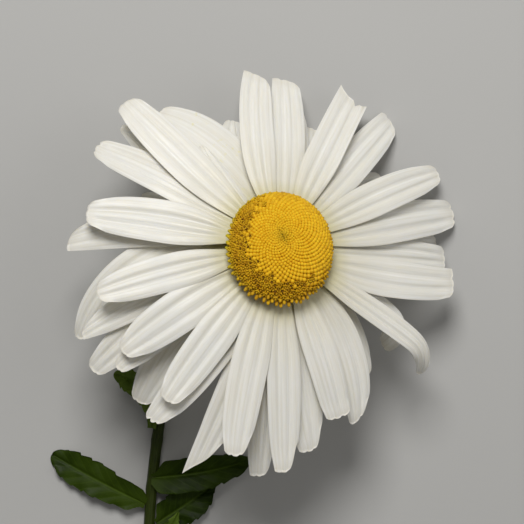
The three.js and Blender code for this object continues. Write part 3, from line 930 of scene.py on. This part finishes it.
# ---- the stem ----------------------------------------------------------------------------------
STEM_SIDES = 54
STEM_RINGS = 220
STEM_FULLNESS = 0.95  # the ribbed stem's mean radius against the CAD's round one
STEM_RIBS = 9
STEM_RIB_HEIGHT = 0.045
STEM_SWELLING = 0.75  # how much thicker it is under the head
STEM_SWELLING_LENGTH = 2.4
# Distances from the head, along the stem, of leaf joints and of the scars of lower leaves.
STEM_KNOTS = (64.0, 76.0, 88.0, 108.0, 131.0)
STEM_KNOT_HEIGHT = 0.1
STEM_KNOT_LENGTH = 1.3
STEM_INTO_CUP = 1.0


def smooth_route(points, count):
    """A centripetal Catmull-Rom curve through the points, as evenly spaced points."""
    points = np.array(points, float)
    points = np.vstack([2 * points[0] - points[1], points, 2 * points[-1] - points[-2]])
    curve = []
    for p0, p1, p2, p3 in zip(points, points[1:], points[2:], points[3:]):
        knots = [0.0]
        for a, b in ((p0, p1), (p1, p2), (p2, p3)):
            knots.append(knots[-1] + math.sqrt(np.linalg.norm(b - a)))
        t0, t1, t2, t3 = knots
        t = np.linspace(t1, t2, 40, endpoint=False)[:, None]
        a1 = (t1 - t) / (t1 - t0) * p0 + (t - t0) / (t1 - t0) * p1
        a2 = (t2 - t) / (t2 - t1) * p1 + (t - t1) / (t2 - t1) * p2
        a3 = (t3 - t) / (t3 - t2) * p2 + (t - t2) / (t3 - t2) * p3
        b1 = (t2 - t) / (t2 - t0) * a1 + (t - t0) / (t2 - t0) * a2
        b2 = (t3 - t) / (t3 - t1) * a2 + (t - t1) / (t3 - t1) * a3
        curve.append((t2 - t) / (t2 - t1) * b1 + (t - t1) / (t2 - t1) * b2)
    curve = np.vstack(curve + [points[-2][None]])
    run = np.concatenate([[0], np.cumsum(np.linalg.norm(np.diff(curve, axis=0), axis=1))])
    even = np.linspace(0, run[-1], count)
    return np.stack([np.interp(even, run, curve[:, k]) for k in range(3)], -1), even


def make_stem():
    top = HEAD_CENTRE - HEAD_AXIS * (CUP_DEPTH - STEM_INTO_CUP)
    route = [top] + [(HEAD_CENTRE[0] + x, HEAD_CENTRE[1] + y, z) for x, y, z in STEM_ROUTE]
    line, run = smooth_route(route, STEM_RINGS)
    tangent = np.gradient(line, axis=0)
    tangent = tangent / np.linalg.norm(tangent, axis=1)[:, None]
    side = np.cross(tangent, (0, 0, 1.0))
    side = side / np.linalg.norm(side, axis=1)[:, None]
    up = np.cross(side, tangent)
    angle = around(STEM_SIDES)
    ribs = 1 + STEM_RIB_HEIGHT * np.cos(STEM_RIBS * angle)[None, :]
    swell = 1 + STEM_SWELLING * np.exp(-run / STEM_SWELLING_LENGTH) - 0.04 * smooth(60, 150, run)
    for knot in STEM_KNOTS:
        swell = swell + STEM_KNOT_HEIGHT * bump(run, knot, STEM_KNOT_LENGTH)
    radius = STEM_RADIUS * STEM_FULLNESS * swell[:, None] * ribs
    points = line[:, None] + side[:, None] * (radius * np.cos(angle))[..., None]
    points = points + up[:, None] * (radius * np.sin(angle))[..., None]
    points = points.reshape(-1, 3)
    faces = [tuple(f) for f in grid_faces(STEM_RINGS, STEM_SIDES, wrap=True)]
    last = (STEM_RINGS - 1) * STEM_SIDES
    faces.append(tuple(range(STEM_SIDES)))
    faces.append(tuple(last + j for j in range(STEM_SIDES))[::-1])
    across = np.tile(angle / (2 * math.pi), STEM_RINGS)
    along = np.repeat(run / run[-1], STEM_SIDES)
    make_piece("flower_stem", points, faces, STEM, "stem", np.column_stack([across, along]))


# ---- the leaves --------------------------------------------------------------------------------
LEAF_STEPS = 120
LEAF_COLUMNS = 31
LEAF_THICKNESS = 0.3
LEAF_STALK = 2.4  # how far the blade runs on inwards from the CAD's base, to clasp the stem
LEAF_GATHER = 2.2  # width where it comes out of the stem
LEAF_LIFT = 0.1
MIDRIB_GROOVE = 0.3
MIDRIB_THICKNESS = 0.35

QUILT_HEIGHT = 0.16
QUILT_BEAT = 16  # radians along a leaf
QUILT_SLANT = 0.22
RUFFLE_HEIGHTS = (0.42, 0.2)
RUFFLE_BEATS = (15, 31)


def leaf_half_width(s, v, width, foot, widest, tip_share):
    share = foot / width
    swelling = np.sin(np.minimum(s / widest, 1) * math.pi / 2) ** 1.4
    narrowing = np.maximum((s - widest) / (1 - widest), 0) ** 2.2
    half = width / 2 * (share + (1 - share) * swelling) * (1 - (1 - tip_share) * narrowing)
    gathered = min(LEAF_GATHER / foot, 1)
    return half * (gathered + (1 - gathered) * smooth(0.02, 0.15, s + 0.06 * (v > 0)))


def leaf_teeth(s, v, uneven):
    """How deep the margin is cut between its teeth, which are uneven and differ between the sides."""
    beat = s * LEAF_TEETH + 0.22 * np.sin(9 * s + uneven[0]) + 0.5 * (v > 0)
    phase = beat % 1
    deep = 1 + 0.45 * np.sin(17 * s + uneven[1] + 2 * np.sign(v))
    toothed = smooth(0.12, 0.35, s) * (1 - smooth(0.95, 1, s))
    return LEAF_TOOTH_DEPTH * deep * (phase**1.3 * (1 - smooth(0.86, 1, phase))) * toothed


def leaf_relief(s, v, uneven):
    """Quilting between the side veins, the groove over the midrib, and ruffled margins."""
    rows = np.sin(QUILT_BEAT * (s - QUILT_SLANT * np.abs(v)))
    quilted = QUILT_HEIGHT * (np.abs(rows) - 0.6) * (1 - bump(v, 0, 0.16)) * smooth(0.05, 0.2, s)
    groove = -MIDRIB_GROOVE * bump(v, 0, 0.09)
    ruffle = RUFFLE_HEIGHTS[0] * np.sin(RUFFLE_BEATS[0] * s + uneven[2] + 1.3 * np.sign(v))
    ruffle = ruffle + RUFFLE_HEIGHTS[1] * np.sin(RUFFLE_BEATS[1] * s + uneven[3] + np.sign(v))
    return quilted, groove, ruffle * np.abs(v) ** 2.5 * smooth(0.05, 0.25, s)


def make_leaf(name, leaf):
    base, bearing, turn, length, width, drop, bend, fold, foot, widest, tip_share = leaf
    s = np.linspace(0, 1, LEAF_STEPS)
    v = np.linspace(-1, 1, LEAF_COLUMNS)[None, :]
    start = np.array([HEAD_CENTRE[0] + base[0], HEAD_CENTRE[1] + base[1], base[2]])
    at, tangent, side, up = middle_line(
        start - direction(np.float64(bearing), float(drop)) * LEAF_STALK,
        length + LEAF_STALK,
        lambda x: bearing + turn * x,
        lambda x: drop + bend * x,
        lambda x: 0 * x,
        s,
    )
    s = s[:, None]
    uneven = random.uniform(0, 2 * math.pi, 4)
    half = leaf_half_width(s, v, width, foot, widest, tip_share)
    half = half - leaf_teeth(s, v, uneven) * np.abs(v) ** 3
    quilted, groove, ruffle = leaf_relief(s, v, uneven)
    rounding = 0.06 * length * v * v * smooth(0.75, 1, s)
    lie = math.radians(fold)
    thick = LEAF_THICKNESS * (1 - 0.4 * np.abs(v)) + MIDRIB_THICKNESS * bump(v, 0, 0.06) * (1 - 0.7 * s)

    def layer(offset):
        points = at[:, None] + side[:, None] * (v * half * math.cos(lie))[..., None]
        lift = np.abs(v) * half * math.sin(lie) + quilted + groove + ruffle + offset
        return points + up[:, None] * lift[..., None] - tangent[:, None] * rounding[..., None]

    points, faces = closed_sheet(layer(LEAF_LIFT + 0 * thick), layer(LEAF_LIFT - thick))
    # Two leaves take the lighter copy of the leaf green, which is painted light.
    material = PAINTED_LIT_LEAF if name in PAINTED_LIT_LEAVES else LEAF
    make_piece(name.replace("leaf", "green_leaf"), points, faces, material, name, sheet_uv(v, s))


# ---- the studio --------------------------------------------------------------------------------
FLOOR_HALF = 2.0  # metres
# Each light: place from the head and width of its disk, in metres, power and colour.
LIGHTS = {
    "key": ((-0.05, 0.35, 0.50), 0.3, 3.0, (1.0, 0.985, 0.955)),
    "fill": ((0.45, 0.05, 0.40), 0.5, 0.5, (1.0, 0.985, 0.96)),
}
SKY_COLOUR = (0.85, 0.84, 0.81, 1)
SKY_STRENGTH = 0.19


def make_floor():
    half = FLOOR_HALF
    mesh = bpy.data.meshes.new("floor")
    corners = [(-half, -half, 0), (half, -half, 0), (half, half, 0), (-half, half, 0)]
    mesh.from_pydata(corners, [], [(0, 1, 2, 3)])
    mesh.materials.append(floor_material())
    floor = bpy.data.objects.new("floor", mesh)
    bpy.context.scene.collection.objects.link(floor)


def make_light(name, head, place, size, power, colour):
    light = bpy.data.lights.new(name, "AREA")
    light.shape = "DISK"
    light.size = size
    light.energy = power
    light.color = colour
    lamp = bpy.data.objects.new(name, light)
    lamp.location = head + Vector(place)
    lamp.rotation_euler = (head - lamp.location).to_track_quat("-Z", "Y").to_euler()
    bpy.context.scene.collection.objects.link(lamp)


def make_camera(head):
    camera = bpy.data.cameras.new("camera")
    camera.sensor_width = SENSOR_WIDTH
    camera.lens = SENSOR_WIDTH * CAMERA_HEIGHT / VIEW_WIDTH
    viewer = bpy.data.objects.new("camera", camera)
    viewer.location = head + Vector((*CAMERA_OFFSET, CAMERA_HEIGHT)) * MM
    bpy.context.scene.collection.objects.link(viewer)
    bpy.context.scene.camera = viewer


def make_studio():
    head = Vector(HEAD_CENTRE * MM)
    make_floor()
    for name, light in LIGHTS.items():
        make_light(name, head, *light)
    world = bpy.data.worlds.new("studio")
    world.use_nodes = True
    sky = world.node_tree.nodes["Background"]
    sky.inputs["Color"].default_value = SKY_COLOUR
    sky.inputs["Strength"].default_value = SKY_STRENGTH
    bpy.context.scene.world = world
    make_camera(head)
    bpy.context.scene.view_settings.view_transform = "Standard"


for ray_number, ray_measures in enumerate(RAYS, 1):
    make_ray(ray_number, ray_measures)
make_disc()
make_receptacle()
make_bracts()
make_stem()
for leaf_name, leaf_measures in LEAVES.items():
    make_leaf(leaf_name, leaf_measures)
make_studio()
